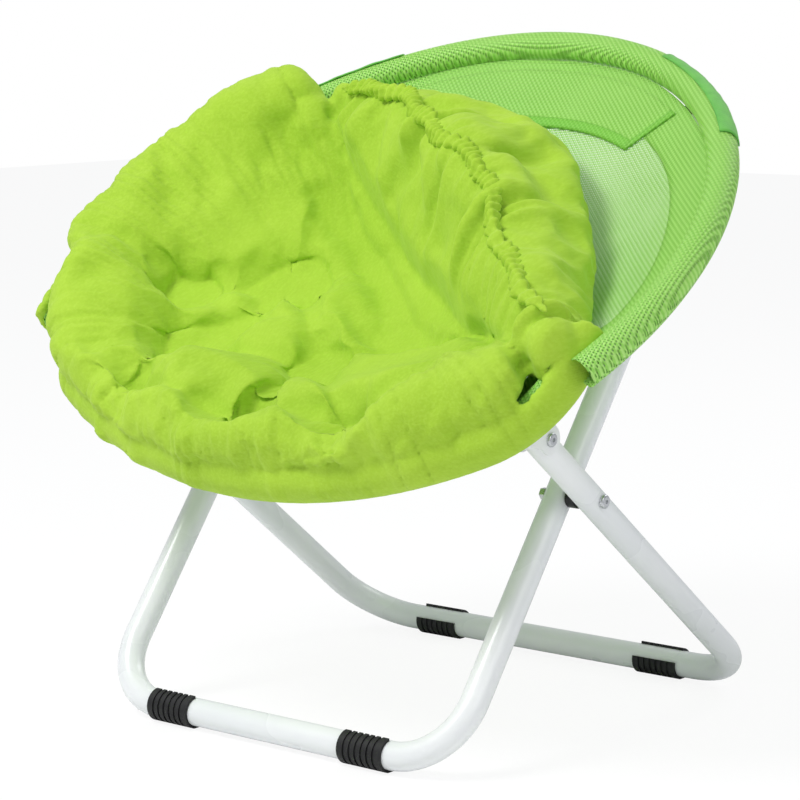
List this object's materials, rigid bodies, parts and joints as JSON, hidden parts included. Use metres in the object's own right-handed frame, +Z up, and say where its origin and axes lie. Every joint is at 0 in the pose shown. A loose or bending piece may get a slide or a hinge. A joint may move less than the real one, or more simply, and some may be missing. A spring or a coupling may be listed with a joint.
{
  "type": "folding saucer chair",
  "caption": "Folding round chair: crossed U legs, a hoop with a see-through mesh seat, and a tufted round cushion peeled back on one side.",
  "frame": {"origin": "on the floor, under the middle of the chair's box", "axes": "+X across the chair to the right of someone who faces it, +Y to the chair's back, +Z up"},
  "size_m": [0.6824, 0.4778, 0.6121],
  "materials": {
    "white_steel": "smooth white powder coat",
    "black_rubber": "satin black",
    "black_plastic": "satin black",
    "zinc_steel": "bright zinc",
    "green_mesh": "open woven coated mesh, see-through",
    "green_mesh_border": "the same mesh in two layers",
    "green_patch_cloth": "close-woven cloth",
    "lime_cotton": "soft matt cotton"
  },
  "bodies": {
    "front_legs": {"cross_bolt_left": "zinc_steel", "cross_bolt_right": "zinc_steel", "cross_nut_left": "zinc_steel", "cross_nut_right": "zinc_steel", "cross_spacer_left": "black_plastic", "cross_spacer_right": "black_plastic", "front_foot_left": "black_rubber", "front_foot_right": "black_rubber", "front_leg_frame": "white_steel", "front_leg_tip_left": "black_plastic", "front_leg_tip_right": "black_plastic"},
    "rear_legs": {"rear_foot_left": "black_rubber", "rear_foot_right": "black_rubber", "rear_leg_frame": "white_steel", "rear_leg_plug_left": "black_plastic", "rear_leg_plug_right": "black_plastic"},
    "seat": {"cushion_fold": "lime_cotton", "cushion_hem": "lime_cotton", "cushion_pad": "lime_cotton", "cushion_pocket_front": "lime_cotton", "cushion_pocket_left": "lime_cotton", "cushion_pocket_right": "lime_cotton", "front_hoop": "white_steel", "front_hoop_plug_left": "black_plastic", "front_hoop_plug_right": "black_plastic", "hoop_joint_nut_left": "zinc_steel", "hoop_joint_nut_right": "zinc_steel", "hoop_joint_pin_left": "zinc_steel", "hoop_joint_pin_right": "zinc_steel", "hoop_joint_washer_left": "zinc_steel", "hoop_joint_washer_right": "zinc_steel", "mesh_front_sleeve": "green_mesh_border", "mesh_headrest": "green_mesh_border", "mesh_patch_left": "green_patch_cloth", "mesh_patch_right": "green_patch_cloth", "mesh_rear_sleeve": "green_mesh_border", "mesh_seat": "green_mesh", "rear_hoop": "white_steel", "rear_hoop_plug_left": "black_plastic", "rear_hoop_plug_right": "black_plastic", "seat_bolt_left": "zinc_steel", "seat_bolt_right": "zinc_steel", "seat_bracket_left": "white_steel", "seat_bracket_right": "white_steel", "seat_nut_left": "zinc_steel", "seat_nut_right": "zinc_steel"}
  },
  "joints": [
    {"name": "leg_scissor", "type": "hinge", "parent": "front_legs", "child": "rear_legs", "pos_m": [0, -0.03354, 0.22], "axis": [-1, 0, 0], "range_deg": [0, 87]},
    {"name": "seat_pivot", "type": "hinge", "parent": "rear_legs", "child": "seat", "pos_m": [0, -0.11201, 0.28358], "axis": [1, 0, 0], "range_deg": [0, 107.5]}
  ],
  "couplings": [
    {"joint": "seat_pivot", "follows": "leg_scissor", "ratio": 1.235}
  ]
}
